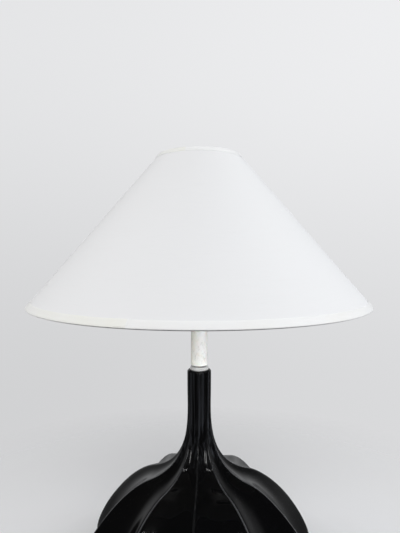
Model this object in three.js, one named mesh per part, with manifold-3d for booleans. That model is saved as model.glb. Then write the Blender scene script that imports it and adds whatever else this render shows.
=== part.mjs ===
// A tall table lamp: a fluted, glazed ceramic gourd with a long neck, a white plastic stem tube,
// a screw lampholder with its bulb, and a wide conical shade on a wire spider.
// Millimetres, +Z up. The origin is the middle of the felt ring's underside, on the table.
import * as THREE from "three";
import { mergeVertices } from "three/addons/utils/BufferGeometryUtils.js";
import Module from "manifold-3d";

const wasm = await Module();
wasm.setup();

// ---- driving dimensions ----
const GAP = 0.3; // between touching pieces

const RIDGES = 10;
const FIRST_RIDGE = THREE.MathUtils.degToRad(-94); // from +X, so just left of the front
const FLUTE_SHARE = 0.14; // depth of a flute as a share of the ridge's radius
const CREST_ROUNDING = 0.08; // share of half a flute that the rounded crest takes
const FLUTE_TOP = 368; // the flutes start below this height on the neck
const FLUTE_FULL = 212; // and are at full depth from here down
const FLUTE_FADE = 80; // below this they run out again towards the foot
const FELT_THICKNESS = 2;
const FOOT_BOTTOM = FELT_THICKNESS + GAP;
const FOOT_RADIUS = 104;
const FOOT_WIDTH = 12;
const FLOOR_BOTTOM = 13;
const FLOOR_TOP = 22;
const WALL = 8;
const WIDEST_RADIUS = 190;
const WIDEST_HEIGHT = 88;
const SHOULDER_RADIUS = 80;
const SHOULDER_HEIGHT = 218.5;
const SHOULDER_SLOPE = THREE.MathUtils.degToRad(14.4);
const NECK_RADIUS = 18.4;
const NECK_FLARE_START = 353;
const NECK_FLARE_PULL = 51; // how far the straight neck keeps its direction into the flare
const NECK_BORE = 9;
const BASE_HEIGHT = 384;
const LIP_ROUNDING = 3.4;

const INLET_HEIGHT = 50; // cord inlet, through the wall at the back
const INLET_HOLE = 7.3;
const INLET_BORE = 5;
const BUSHING_INSIDE = 14; // the bushing reaches this far in from the body's surface
const BUSHING_OUTSIDE = 6; // and this far out

const ROD_RADIUS = 5;
const ROD_BORE = 3.4;
const ROD_BOTTOM = 3;
const ROD_TOP = 529;
const ROD_CLEARANCE = ROD_RADIUS + GAP;
const BASE_WASHER_RADIUS = 20;
const BASE_WASHER_THICKNESS = 2;
const LOCK_WASHER_RADIUS = 9.5;
const LOCK_WASHER_TEETH = 12;
const NUT_ACROSS_FLATS = 17;
const NUT_THICKNESS = 5;

const COLLAR_RADIUS = 14.5;
const COLLAR_HEIGHT = 4.5;
const COLLAR_FLANGE = 2; // the lower, wider part of the collar
const COLLAR_SPIGOT = 6; // reaches down into the neck's bore
const STEM_RADIUS = 12.75;
const STEM_BORE = 10.75;
const STEM_BOTTOM = BASE_HEIGHT + GAP + COLLAR_HEIGHT + GAP;
const STEM_TOP = 515;
const FERRULE_HEIGHT = 8; // the thicker, grooved foot of the stem tube
const STEM_WASHER_THICKNESS = 1.5;

const HOLDER_BOTTOM = STEM_TOP + GAP + STEM_WASHER_THICKNESS + GAP;
const HOLDER_RADIUS = 19.4;
const HOLDER_SPLIT = 541; // the cap ends and the threaded shell starts here
const HOLDER_TOP = 576;
const HOLDER_WALL = 2.1;
const CAP_FLAT = 9.6; // radius of the cap's flat underside
const CAP_DOME_HEIGHT = 12;
const CAP_SKIRT = 6; // upright part of the cap above its dome
const CORE_BOTTOM = 532;
const CORE_TOP = 546;
const CORE_RADIUS = 16.6;
const CONTACT_BORE = 13.6;
const CONTACT_WALL = 0.7;
const CONTACT_TOP = 571;
const FITTER_BOTTOM = 560.3;
const FITTER_THICKNESS = 2;
const FITTER_RADIUS = 27.5;
const FITTER_BORE = 20.6;
const RING_BORE = HOLDER_RADIUS + 0.4;
const SEAT_RING_HEIGHT = 5;
const CLAMP_RING_HEIGHT = 6;
const CLAMP_RING_RADIUS = 26;

const BULB_TIP = 549.6;
const BULB_CAP_TOP = 576.5;
const BULB_RADIUS = 30;
const BULB_CENTRE = 623;
const BULB_NECK = 13.6;
const BULB_CAP_RADIUS = 13;
const BULB_TIP_HEIGHT = 1.4;
const BULB_SEAL_HEIGHT = 3.9;
const GLASS_WALL = 1.2;

const SHADE_BOTTOM = 490;
const SHADE_HEIGHT = 222;
const SHADE_BOTTOM_RADIUS = 250;
const SHADE_TOP_RADIUS = 62;
const LAMINATE = 0.8;
const TAPE = 0.4;
const BOTTOM_TAPE_WIDTH = 10;
const TOP_TAPE_WIDTH = 8;
const RIM_WIRE = 1.2;
const WIRE_SETBACK = 0.8; // from the wall's edge to the rim wire
const ARM_WIRE = 1.5;
const ARM_COUNT = 3;

// ---- materials ----
const material = (color, roughness, metalness = 0) =>
  new THREE.MeshStandardMaterial({ color, roughness, metalness });
const blackGlaze = () => material(0x050506, 0.06);
const blackRubber = () => material(0x111111, 0.8);
const grayFelt = () => material(0x33312e, 1);
const zincSteel = () => material(0xb9bbbd, 0.35, 1);
const paleSteel = () => material(0xdcdcda, 0.3, 1);
const creamPlastic = () => material(0xefeee6, 0.4);
const whitePlastic = () => material(0xf2f1ec, 0.35);
const brass = () => material(0xb8923f, 0.35, 1);
const whiteLaminate = () => material(0xf4f4f2, 0.85);
const whiteTape = () => material(0xfafaf8, 0.7);
const whiteWire = () => material(0xededea, 0.5);
const opalGlass = () => material(0xf7f5ef, 0.25);
const darkGlass = () => material(0x1a1714, 0.2);
const clearGlass = () => material(0xdfe6e4, 0.05);
const tungsten = () => material(0x55565a, 0.4, 1);

// ---- shape helpers ----
const lamp = new THREE.Group();

function addPiece(name, geometry, look) {
  const piece = new THREE.Mesh(geometry, look);
  piece.name = name;
  lamp.add(piece);
}

// Turns an outline of [radius, height] points round the Z axis. An outline that starts and ends
// off the axis is closed on itself.
function turned(outline, segments = 32, start = 0) {
  const points = outline.map(([radius, height]) => new THREE.Vector2(radius, height));
  if (outline[0][0] > 0) points.push(points[0].clone());
  return new THREE.LatheGeometry(points, segments, start).rotateX(Math.PI / 2);
}

// A plain ring or sleeve.
function ring(bore, radius, bottom, top, segments = 32) {
  const outline = [
    [bore, bottom],
    [radius, bottom],
    [radius, top],
    [bore, top],
  ];
  return turned(outline, segments);
}

function toSolid(geometry) {
  const bare = geometry.clone();
  bare.deleteAttribute("normal");
  bare.deleteAttribute("uv");
  const merged = mergeVertices(bare, 1e-3);
  return new wasm.Manifold(
    new wasm.Mesh({
      numProp: 3,
      vertProperties: merged.getAttribute("position").array,
      triVerts: new Uint32Array(merged.index.array),
    }),
  );
}

function cut(geometry, ...tools) {
  let solid = toSolid(geometry);
  for (const tool of tools) solid = solid.subtract(toSolid(tool));
  const result = solid.getMesh();
  return new THREE.BufferGeometry()
    .setAttribute("position", new THREE.BufferAttribute(result.vertProperties, 3))
    .setIndex(new THREE.BufferAttribute(result.triVerts, 1));
}

// A round bar of a wire along a path.
function wire(path, radius, steps, sides = 8) {
  const section = new THREE.Shape().absarc(0, 0, radius, 0, 2 * Math.PI);
  return new THREE.ExtrudeGeometry(section, {
    steps,
    curveSegments: sides / 2,
    extrudePath: path,
    bevelEnabled: false,
  });
}

function curvePoints(curve, count) {
  return curve.getPoints(count).map((point) => [point.x, point.y]);
}

// ---- ceramic body ----
const shoulderStep = (length) =>
  new THREE.Vector2(Math.cos(SHOULDER_SLOPE), -Math.sin(SHOULDER_SLOPE)).multiplyScalar(length);

const shoulder = new THREE.Vector2(SHOULDER_RADIUS, SHOULDER_HEIGHT);

const neckCurve = new THREE.CubicBezierCurve(
  new THREE.Vector2(NECK_RADIUS, NECK_FLARE_START),
  new THREE.Vector2(NECK_RADIUS, NECK_FLARE_START - NECK_FLARE_PULL),
  shoulder.clone().sub(shoulderStep(68)),
  shoulder,
);

const bellyCurve = new THREE.CubicBezierCurve(
  shoulder,
  shoulder.clone().add(shoulderStep(52)),
  new THREE.Vector2(WIDEST_RADIUS, WIDEST_HEIGHT + 28),
  new THREE.Vector2(WIDEST_RADIUS, WIDEST_HEIGHT),
);

const footCurve = new THREE.CubicBezierCurve(
  new THREE.Vector2(WIDEST_RADIUS, WIDEST_HEIGHT),
  new THREE.Vector2(WIDEST_RADIUS, WIDEST_HEIGHT - 44),
  new THREE.Vector2(FOOT_RADIUS + 34, FOOT_BOTTOM + 24),
  new THREE.Vector2(FOOT_RADIUS, FOOT_BOTTOM + 3),
);

// The inside of the wall: a curve's points moved inwards by the wall's thickness.
function insideOf(curve, count) {
  const points = [];
  for (let step = 0; step <= count; step++) {
    const place = curve.getPoint(step / count);
    const along = curve.getTangent(step / count);
    const radius = place.x + along.y * WALL;
    const height = place.y - along.x * WALL;
    points.push([Math.max(radius, NECK_BORE), height]);
  }
  return points;
}

// How deep the flutes are at a height, from 0 to 1.
function fluteStrength(height) {
  const top = THREE.MathUtils.smoothstep(FLUTE_TOP - height, 0, FLUTE_TOP - FLUTE_FULL);
  const bottom = THREE.MathUtils.smoothstep(height, FOOT_BOTTOM, FLUTE_FADE);
  return top * bottom;
}

// The radius of the body at an angle, as a share of the radius of its ridges at that height.
function fluteShare(angle, height) {
  const pitch = (2 * Math.PI) / RIDGES;
  const turns = (angle - FIRST_RIDGE) / pitch;
  const fromRidge = 2 * Math.abs(turns - Math.round(turns));
  const rounded = Math.hypot(fromRidge, CREST_ROUNDING) - CREST_ROUNDING;
  const reach = rounded / (Math.hypot(1, CREST_ROUNDING) - CREST_ROUNDING);
  return 1 - FLUTE_SHARE * fluteStrength(height) * (2 * reach - reach * reach);
}

function flute(geometry) {
  const position = geometry.getAttribute("position");
  for (let i = 0; i < position.count; i++) {
    const x = position.getX(i);
    const y = position.getY(i);
    const share = fluteShare(Math.atan2(y, x), position.getZ(i));
    position.setXY(i, x * share, y * share);
  }
  return geometry;
}

// The cord inlet is drilled straight in from the back, at the middle of the flute nearest +Y.
const ridgeRadiusAt = (height) =>
  footCurve
    .getPoints(200)
    .reduce((best, p) => (Math.abs(p.y - height) < Math.abs(best.y - height) ? p : best)).x;

const inletAngle = FIRST_RIDGE + (5.5 * 2 * Math.PI) / RIDGES;
const inletRadius = ridgeRadiusAt(INLET_HEIGHT) * fluteShare(inletAngle, INLET_HEIGHT);

// A turned piece laid along the inlet, its own axis pointing out of the body.
function alongInlet(geometry) {
  return geometry
    .rotateX(-Math.PI / 2)
    .translate(inletRadius * Math.cos(inletAngle), inletRadius * Math.sin(inletAngle), INLET_HEIGHT);
}

function ceramicBody() {
  const lip = new THREE.EllipseCurve(
    NECK_RADIUS - LIP_ROUNDING,
    BASE_HEIGHT - LIP_ROUNDING,
    LIP_ROUNDING,
    LIP_ROUNDING,
    0,
    Math.PI / 2,
  );
  const outside = [
    ...curvePoints(footCurve, 8).reverse(),
    ...curvePoints(bellyCurve, 9).reverse().slice(1),
    ...curvePoints(neckCurve, 10).reverse().slice(1),
    ...curvePoints(lip, 3),
  ];
  const inside = [
    ...insideOf(neckCurve, 6).slice(2),
    ...insideOf(bellyCurve, 5).slice(1),
    ...insideOf(footCurve, 5)
      .slice(1)
      .filter(([, height]) => height > FLOOR_TOP + 1),
  ];
  const lastInside = inside[inside.length - 1];
  const outline = [
    [FOOT_RADIUS - 1.5, FOOT_BOTTOM],
    ...outside,
    [NECK_BORE, BASE_HEIGHT],
    ...inside,
    [lastInside[0] - 10, FLOOR_TOP],
    [ROD_CLEARANCE + 0.7, FLOOR_TOP],
    [ROD_CLEARANCE + 0.7, FLOOR_BOTTOM],
    [FOOT_RADIUS - FOOT_WIDTH - 4, FLOOR_BOTTOM],
    [FOOT_RADIUS - FOOT_WIDTH, FOOT_BOTTOM],
  ];
  const sides = 6 * RIDGES;
  const body = flute(turned(outline, sides, FIRST_RIDGE + Math.PI / 2));
  const hole = new THREE.CylinderGeometry(INLET_HOLE, INLET_HOLE, 60, 20).rotateX(Math.PI / 2);
  return cut(body, alongInlet(hole));
}

function cordBushing() {
  const bore = INLET_BORE;
  const radius = INLET_HOLE - GAP;
  return alongInlet(
    turned(
      [
        [bore, -BUSHING_INSIDE],
        [radius, -BUSHING_INSIDE],
        [radius, BUSHING_OUTSIDE - 1],
        [radius - 1, BUSHING_OUTSIDE],
        [bore + 0.8, BUSHING_OUTSIDE],
        [bore, BUSHING_OUTSIDE - 0.8],
      ],
      24,
    ),
  );
}

function addBase() {
  const felt = ring(FOOT_RADIUS - FOOT_WIDTH, FOOT_RADIUS - 1.5, 0, FELT_THICKNESS, 48);
  addPiece("felt_ring", felt, grayFelt());
  addPiece("ceramic_body", ceramicBody(), blackGlaze());
  addPiece("cord_bushing", cordBushing(), blackRubber());
}

// ---- rod and its fasteners under the floor ----
function hexNut(acrossFlats, bottom, top) {
  const corner = acrossFlats / Math.sqrt(3);
  const outline = new THREE.Shape();
  for (let side = 0; side < 6; side++) {
    const angle = (side * Math.PI) / 3;
    const x = corner * Math.cos(angle);
    const y = corner * Math.sin(angle);
    if (side === 0) outline.moveTo(x, y);
    else outline.lineTo(x, y);
  }
  outline.holes.push(new THREE.Path().absarc(0, 0, ROD_CLEARANCE, 0, 2 * Math.PI));
  const nut = new THREE.ExtrudeGeometry(outline, {
    depth: top - bottom,
    curveSegments: 10,
    bevelEnabled: false,
  });
  return nut.translate(0, 0, bottom);
}

function toothedWasher(bore, radius, teeth, bottom, top) {
  const outline = new THREE.Shape();
  for (let step = 0; step < 2 * teeth; step++) {
    const angle = (step * Math.PI) / teeth;
    const reach = step % 2 ? radius - 1 : radius;
    const x = reach * Math.cos(angle);
    const y = reach * Math.sin(angle);
    if (step === 0) outline.moveTo(x, y);
    else outline.lineTo(x, y);
  }
  outline.holes.push(new THREE.Path().absarc(0, 0, bore, 0, 2 * Math.PI));
  const washer = new THREE.ExtrudeGeometry(outline, {
    depth: top - bottom,
    curveSegments: 10,
    bevelEnabled: false,
  });
  return washer.translate(0, 0, bottom);
}

function addRod() {
  const washerTop = FLOOR_BOTTOM - GAP;
  const washerBottom = washerTop - BASE_WASHER_THICKNESS;
  const lockTop = washerBottom - GAP;
  const lockBottom = lockTop - 1;
  const nutTop = lockBottom - GAP;
  const washer = ring(ROD_CLEARANCE, BASE_WASHER_RADIUS, washerBottom, washerTop);
  const lock = toothedWasher(ROD_CLEARANCE, LOCK_WASHER_RADIUS, LOCK_WASHER_TEETH, lockBottom, lockTop);
  addPiece("threaded_rod", ring(ROD_BORE, ROD_RADIUS, ROD_BOTTOM, ROD_TOP, 20), zincSteel());
  addPiece("base_washer", washer, zincSteel());
  addPiece("base_lock_washer", lock, zincSteel());
  addPiece("base_nut", hexNut(NUT_ACROSS_FLATS, nutTop - NUT_THICKNESS, nutTop), zincSteel());
}

// ---- stem ----
function addStem() {
  const seat = BASE_HEIGHT + GAP;
  const collar = turned([
    [ROD_CLEARANCE, seat - COLLAR_SPIGOT],
    [NECK_BORE - GAP, seat - COLLAR_SPIGOT],
    [NECK_BORE - GAP, seat],
    [COLLAR_RADIUS - 0.4, seat],
    [COLLAR_RADIUS, seat + 0.5],
    [COLLAR_RADIUS, seat + COLLAR_FLANGE - 0.5],
    [COLLAR_RADIUS - 0.9, seat + COLLAR_FLANGE],
    [COLLAR_RADIUS - 0.9, seat + COLLAR_HEIGHT],
    [ROD_CLEARANCE, seat + COLLAR_HEIGHT],
  ]);
  addPiece("neck_collar", collar, paleSteel());

  const grooves = [];
  for (const height of [3.5, 6]) {
    grooves.push([STEM_RADIUS + 0.25, STEM_BOTTOM + height - 0.5]);
    grooves.push([STEM_RADIUS - 0.3, STEM_BOTTOM + height]);
    grooves.push([STEM_RADIUS + 0.2, STEM_BOTTOM + height + 0.5]);
  }
  const tube = turned([
    [STEM_BORE, STEM_BOTTOM],
    [STEM_RADIUS, STEM_BOTTOM],
    [STEM_RADIUS + 0.4, STEM_BOTTOM + 0.6],
    ...grooves,
    [STEM_RADIUS, STEM_BOTTOM + FERRULE_HEIGHT],
    [STEM_RADIUS, STEM_TOP],
    [STEM_BORE, STEM_TOP],
  ]);
  addPiece("stem_tube", tube, creamPlastic());

  const washerBottom = STEM_TOP + GAP;
  const washerTop = washerBottom + STEM_WASHER_THICKNESS;
  addPiece("stem_top_washer", ring(ROD_CLEARANCE, STEM_RADIUS, washerBottom, washerTop, 32), zincSteel());
}

// ---- lampholder ----
const LOCK_SCREW_HEIGHT = HOLDER_BOTTOM + 4;
const TERMINAL_OFFSET = 9;
const SCREW_SHANK = 1.5;
const SCREW_HOLE = SCREW_SHANK + GAP;

function holderCap() {
  const centre = HOLDER_SPLIT - CAP_SKIRT;
  const width = HOLDER_RADIUS - CAP_FLAT;
  const hollowHeight = CAP_DOME_HEIGHT - 2.6;
  const dome = new THREE.EllipseCurve(CAP_FLAT, centre, width, CAP_DOME_HEIGHT, -Math.PI / 2, 0);
  const hollow = new THREE.EllipseCurve(
    CAP_FLAT,
    centre,
    width - HOLDER_WALL,
    hollowHeight,
    0,
    -Math.PI / 2,
    true,
  );
  const cap = turned([
    [ROD_CLEARANCE, HOLDER_BOTTOM],
    [CAP_FLAT, HOLDER_BOTTOM],
    ...curvePoints(dome, 4),
    [HOLDER_RADIUS, HOLDER_SPLIT],
    [HOLDER_RADIUS - HOLDER_WALL, HOLDER_SPLIT],
    ...curvePoints(hollow, 3),
    [ROD_CLEARANCE, centre - hollowHeight],
  ]);
  const hole = new THREE.CylinderGeometry(SCREW_HOLE, SCREW_HOLE, 12, 12);
  hole.translate(0, 9.5, LOCK_SCREW_HEIGHT);
  return cut(cap, hole);
}

function screw(headRadius, headHeight, shankRadius, length) {
  return turned(
    [
      [0, -headHeight],
      [headRadius, -headHeight],
      [headRadius, 0],
      [shankRadius, 0],
      [shankRadius, length],
      [0, length],
    ],
    12,
  );
}

function addHolder() {
  addPiece("holder_cap", holderCap(), whitePlastic());
  const lockScrew = new THREE.CylinderGeometry(SCREW_SHANK, SCREW_SHANK, 5, 12);
  lockScrew.translate(0, 8, LOCK_SCREW_HEIGHT);
  addPiece("rod_lock_screw", lockScrew, zincSteel());

  const shell = ring(
    HOLDER_RADIUS - HOLDER_WALL,
    HOLDER_RADIUS,
    HOLDER_SPLIT + GAP,
    HOLDER_TOP,
  );
  addPiece("holder_shell", shell, whitePlastic());

  const screwHoles = [-TERMINAL_OFFSET, TERMINAL_OFFSET].map((x) =>
    new THREE.CylinderGeometry(SCREW_HOLE, SCREW_HOLE, 16, 12)
      .rotateX(Math.PI / 2)
      .translate(x, 0, CORE_BOTTOM),
  );
  const core = turned([
    [0, CORE_BOTTOM],
    [CORE_RADIUS - 1, CORE_BOTTOM],
    [CORE_RADIUS, CORE_BOTTOM + 1],
    [CORE_RADIUS, CORE_TOP],
    [0, CORE_TOP],
  ]);
  addPiece("holder_core", cut(core, ...screwHoles), whitePlastic());

  const terminals = { live: -TERMINAL_OFFSET, neutral: TERMINAL_OFFSET };
  for (const [side, x] of Object.entries(terminals)) {
    const terminal = screw(2.8, 1.8, SCREW_SHANK, 7).translate(x, 0, CORE_BOTTOM - GAP);
    addPiece("terminal_screw_" + side, terminal, brass());
  }

  const contactShell = ring(CONTACT_BORE, CONTACT_BORE + CONTACT_WALL, CORE_TOP + GAP, CONTACT_TOP);
  addPiece("contact_shell", contactShell, brass());

  // The tongue lies on the core and rises to the bulb's tip.
  const tongue = new THREE.Shape();
  tongue.moveTo(-9, 0);
  tongue.lineTo(-9, 0.6);
  tongue.lineTo(-5, 0.6);
  tongue.lineTo(-2, 3);
  tongue.lineTo(3, 3);
  tongue.lineTo(3, 2.4);
  tongue.lineTo(-1.7, 2.4);
  tongue.lineTo(-4.7, 0);
  const contact = new THREE.ExtrudeGeometry(tongue, { depth: 5, bevelEnabled: false })
    .translate(0, 0, -2.5)
    .rotateX(Math.PI / 2)
    .translate(0, 0, CORE_TOP + GAP);
  addPiece("centre_contact", contact, brass());
}

// ---- rings that hold the shade ----
function addShadeRings() {
  const seatTop = FITTER_BOTTOM - GAP;
  const seat = turned([
    [RING_BORE, seatTop - SEAT_RING_HEIGHT],
    [FITTER_RADIUS - 3.5, seatTop - SEAT_RING_HEIGHT],
    [FITTER_RADIUS, seatTop - 2],
    [FITTER_RADIUS, seatTop],
    [RING_BORE, seatTop],
  ]);
  addPiece("shade_seat_ring", seat, whitePlastic());

  const clampBottom = FITTER_BOTTOM + FITTER_THICKNESS + GAP;
  const clamp = turned([
    [RING_BORE, clampBottom],
    [CLAMP_RING_RADIUS, clampBottom],
    [CLAMP_RING_RADIUS, clampBottom + CLAMP_RING_HEIGHT - 1],
    [CLAMP_RING_RADIUS - 1, clampBottom + CLAMP_RING_HEIGHT],
    [RING_BORE, clampBottom + CLAMP_RING_HEIGHT],
  ]);
  addPiece("shade_clamp_ring", clamp, whitePlastic());
}

// ---- bulb ----
function bulbThread(radius, depth, bottom, turns, pitch) {
  const points = [];
  for (let turn = 0; turn < turns; turn++) {
    points.push([radius - depth, bottom + turn * pitch]);
    points.push([radius, bottom + (turn + 0.5) * pitch]);
  }
  points.push([radius - depth, bottom + turns * pitch]);
  return points;
}

function addBulb() {
  const tip = turned(
    [
      [0, BULB_TIP],
      [3, BULB_TIP],
      [4.2, BULB_TIP + 0.8],
      [4.2, BULB_TIP + BULB_TIP_HEIGHT],
      [0, BULB_TIP + BULB_TIP_HEIGHT],
    ],
    20,
  );
  addPiece("bulb_tip", tip, zincSteel());

  const sealBottom = BULB_TIP + BULB_TIP_HEIGHT + GAP;
  const sealTop = sealBottom + BULB_SEAL_HEIGHT;
  const insulator = turned(
    [
      [0, sealBottom],
      [5, sealBottom],
      [10.5, sealTop],
      [0, sealTop],
    ],
    24,
  );
  addPiece("bulb_insulator", insulator, darkGlass());

  const capBottom = sealTop + GAP;
  const thread = bulbThread(BULB_CAP_RADIUS, 0.9, capBottom + 1.2, 4, 3.6);
  const cap = turned(
    [
      [10.5, capBottom],
      ...thread,
      [BULB_CAP_RADIUS, capBottom + 17],
      [BULB_CAP_RADIUS, BULB_CAP_TOP],
      [BULB_CAP_RADIUS - 0.7, BULB_CAP_TOP],
      [11.4, capBottom + 1.6],
      [10.5, capBottom + 0.7],
    ],
    32,
  );
  addPiece("bulb_cap", cap, zincSteel());

  const rise = BULB_CENTRE - BULB_CAP_TOP;
  const bell = new THREE.CubicBezierCurve(
    new THREE.Vector2(BULB_NECK, BULB_CAP_TOP + GAP),
    new THREE.Vector2(BULB_NECK + 1, BULB_CAP_TOP + 0.42 * rise),
    new THREE.Vector2(BULB_RADIUS, BULB_CENTRE - 0.5 * rise),
    new THREE.Vector2(BULB_RADIUS, BULB_CENTRE),
  );
  const dome = new THREE.EllipseCurve(0, BULB_CENTRE, BULB_RADIUS, BULB_RADIUS, 0, Math.PI / 2);
  const outer = [...curvePoints(bell, 6), ...curvePoints(dome, 6).slice(1)];
  const inner = outer.map(([radius, height]) => {
    const above = Math.max(height - BULB_CENTRE, 0);
    const reach = Math.hypot(radius, above);
    const scale = (reach - GLASS_WALL) / reach;
    return [radius * scale, height - above * (1 - scale)];
  });
  outer[outer.length - 1][0] = 0;
  inner[inner.length - 1][0] = 0;
  const glass = turned([...inner.reverse(), ...outer], 28);
  addPiece("bulb_glass", glass, opalGlass());

  const mountTop = BULB_CAP_TOP + 24;
  const mount = turned(
    [
      [0, BULB_CAP_TOP - 4],
      [9.5, BULB_CAP_TOP - 4],
      [9.5, BULB_CAP_TOP - 2],
      [4.5, BULB_CAP_TOP + 8],
      [3, mountTop],
      [0, mountTop],
    ],
    20,
  );
  addPiece("bulb_mount", mount, clearGlass());

  const top = mountTop + GAP;
  const filament = new THREE.CatmullRomCurve3([
    new THREE.Vector3(-2, 0, top + 0.5),
    new THREE.Vector3(-7, 0, top + 9),
    new THREE.Vector3(-13, 0, top + 19),
    new THREE.Vector3(0, 4, top + 22),
    new THREE.Vector3(13, 0, top + 19),
    new THREE.Vector3(7, 0, top + 9),
    new THREE.Vector3(2, 0, top + 0.5),
  ]);
  addPiece("bulb_filament", wire(filament, 0.5, 24, 6), tungsten());
}

// ---- shade ----
// Places on the shade's wall: steps in from a rim along the wall, and off the wall's middle,
// positive outwards. The outlines below are given as [off, along] pairs.
const rimBottom = new THREE.Vector2(SHADE_BOTTOM_RADIUS, SHADE_BOTTOM);
const rimTop = new THREE.Vector2(SHADE_TOP_RADIUS, SHADE_BOTTOM + SHADE_HEIGHT);
const slant = rimTop.clone().sub(rimBottom).normalize();
const outwards = new THREE.Vector2(slant.y, -slant.x);
const wallOffset = LAMINATE / 2 + GAP + TAPE; // from the wall's middle to the tape's outside
const edgeOffset = GAP + TAPE; // from the wall's edge to the tape's fold
const wallBottom = rimBottom
  .clone()
  .addScaledVector(outwards, -wallOffset)
  .addScaledVector(slant, edgeOffset);
const wallTop = rimTop
  .clone()
  .addScaledVector(outwards, -wallOffset)
  .addScaledVector(slant, -edgeOffset);

function onWall(edge, inwards, off, along) {
  const place = edge.clone();
  place.addScaledVector(outwards, off);
  place.addScaledVector(inwards, along);
  return [place.x, place.y];
}

const upSlant = slant;
const downSlant = slant.clone().negate();
const SHADE_SIDES = 48;
const WIRE_OFF = -(LAMINATE / 2 + GAP + RIM_WIRE);
const WIRE_ALONG = WIRE_SETBACK + RIM_WIRE;

function rimTape(edge, inwards, width) {
  const outer = LAMINATE / 2 + GAP;
  const inner = WIRE_OFF - RIM_WIRE - GAP;
  const outline = [
    [outer + TAPE, -GAP - TAPE],
    [outer + TAPE, width],
    [outer, width],
    [outer, -GAP],
    [inner, -GAP],
    [inner, WIRE_ALONG + RIM_WIRE],
    [inner - TAPE, WIRE_ALONG + RIM_WIRE],
    [inner - TAPE, -GAP - TAPE],
  ];
  const placed = outline.map(([off, along]) => onWall(edge, inwards, off, along));
  return turned(inwards === upSlant ? placed : placed.reverse(), SHADE_SIDES);
}

function rimWire(edge, inwards) {
  const [radius, height] = onWall(edge, inwards, WIRE_OFF, WIRE_ALONG);
  const torus = new THREE.TorusGeometry(radius, RIM_WIRE, 6, SHADE_SIDES);
  return torus.translate(0, 0, height);
}

function addShade() {
  const half = LAMINATE / 2;
  const laminate = turned(
    [
      onWall(wallBottom, upSlant, -half, 0),
      onWall(wallBottom, upSlant, half, 0),
      onWall(wallTop, downSlant, half, 0),
      onWall(wallTop, downSlant, -half, 0),
    ],
    SHADE_SIDES,
  );
  addPiece("shade_laminate", laminate, whiteLaminate());
  addPiece("shade_bottom_tape", rimTape(wallBottom, upSlant, BOTTOM_TAPE_WIDTH), whiteTape());
  addPiece("shade_top_tape", rimTape(wallTop, downSlant, TOP_TAPE_WIDTH), whiteTape());
  addPiece("shade_bottom_wire", rimWire(wallBottom, upSlant), whiteWire());
  addPiece("shade_top_wire", rimWire(wallTop, downSlant), whiteWire());

  const [topRadius, topHeight] = onWall(wallTop, downSlant, WIRE_OFF, WIRE_ALONG);
  const armTop = topRadius - RIM_WIRE - TAPE - 2 * GAP - ARM_WIRE - 1.5;
  const armBottom = FITTER_RADIUS + 3 * GAP;
  const fitterMiddle = FITTER_BOTTOM + FITTER_THICKNESS / 2;
  for (let arm = 0; arm < ARM_COUNT; arm++) {
    const path = new THREE.CatmullRomCurve3([
      new THREE.Vector3(armTop, 0, topHeight + 1),
      new THREE.Vector3(armTop - 2, 0, topHeight - 12),
      new THREE.Vector3(armBottom + 8, 0, fitterMiddle + 14),
      new THREE.Vector3(armBottom + 4, 0, fitterMiddle + 1),
      new THREE.Vector3(armBottom, 0, fitterMiddle),
    ]);
    const bar = wire(path, ARM_WIRE, 12).rotateZ(Math.PI / 2 + (arm * 2 * Math.PI) / ARM_COUNT);
    addPiece("spider_arm_" + (arm + 1), bar, whiteWire());
  }
  const fitter = ring(FITTER_BORE, FITTER_RADIUS, FITTER_BOTTOM, FITTER_BOTTOM + FITTER_THICKNESS);
  addPiece("fitter_ring", fitter, whiteWire());
}

addBase();
addRod();
addStem();
addHolder();
addShadeRings();
addBulb();
addShade();

export default lamp;
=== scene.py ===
"""Visual model of a fluted ceramic table lamp with a wide conical shade."""
import math

import bmesh
import bpy
from mathutils import Matrix, Vector, noise


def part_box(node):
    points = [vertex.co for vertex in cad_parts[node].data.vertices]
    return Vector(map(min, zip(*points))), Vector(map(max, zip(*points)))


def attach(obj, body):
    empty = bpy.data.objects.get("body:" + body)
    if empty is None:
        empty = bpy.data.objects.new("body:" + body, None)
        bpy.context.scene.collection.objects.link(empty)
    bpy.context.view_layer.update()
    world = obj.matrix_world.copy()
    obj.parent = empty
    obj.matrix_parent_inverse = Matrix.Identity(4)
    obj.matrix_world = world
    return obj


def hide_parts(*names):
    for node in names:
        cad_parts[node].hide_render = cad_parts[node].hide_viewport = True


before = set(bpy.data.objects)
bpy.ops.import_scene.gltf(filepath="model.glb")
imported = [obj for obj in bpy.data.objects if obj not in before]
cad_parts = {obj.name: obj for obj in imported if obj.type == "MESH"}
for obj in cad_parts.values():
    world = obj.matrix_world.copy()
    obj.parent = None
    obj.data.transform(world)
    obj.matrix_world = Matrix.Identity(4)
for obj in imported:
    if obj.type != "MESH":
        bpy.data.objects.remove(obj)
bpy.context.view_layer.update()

MM = 0.001
FULL_TURN = 2 * math.pi
FRONT = -FULL_TURN / 4  # the side that faces the camera, as an angle from +X
BACK = FULL_TURN / 4
STEM_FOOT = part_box("stem_tube")[0][2]  # in metres, as the materials measure
TAPE_END = FRONT - math.radians(17.2)  # where the bottom tape's end laps over its start


def span(node):
    """A round node's radius, lowest and highest point, in millimetres."""
    low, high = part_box(node)
    return (high[0] - low[0]) / 2 / MM, low[2] / MM, high[2] / MM


# ---------------- camera
SENSOR = 36  # its height and the lens in millimetres, the rest in metres
LENS = 29.0432
EYE = (0, -0.6617, 0.565)  # a little above the shade's lower rim
LOOKING_DOWN = math.radians(1.9)
LOOKING_RIGHT = math.radians(0.1)


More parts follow.
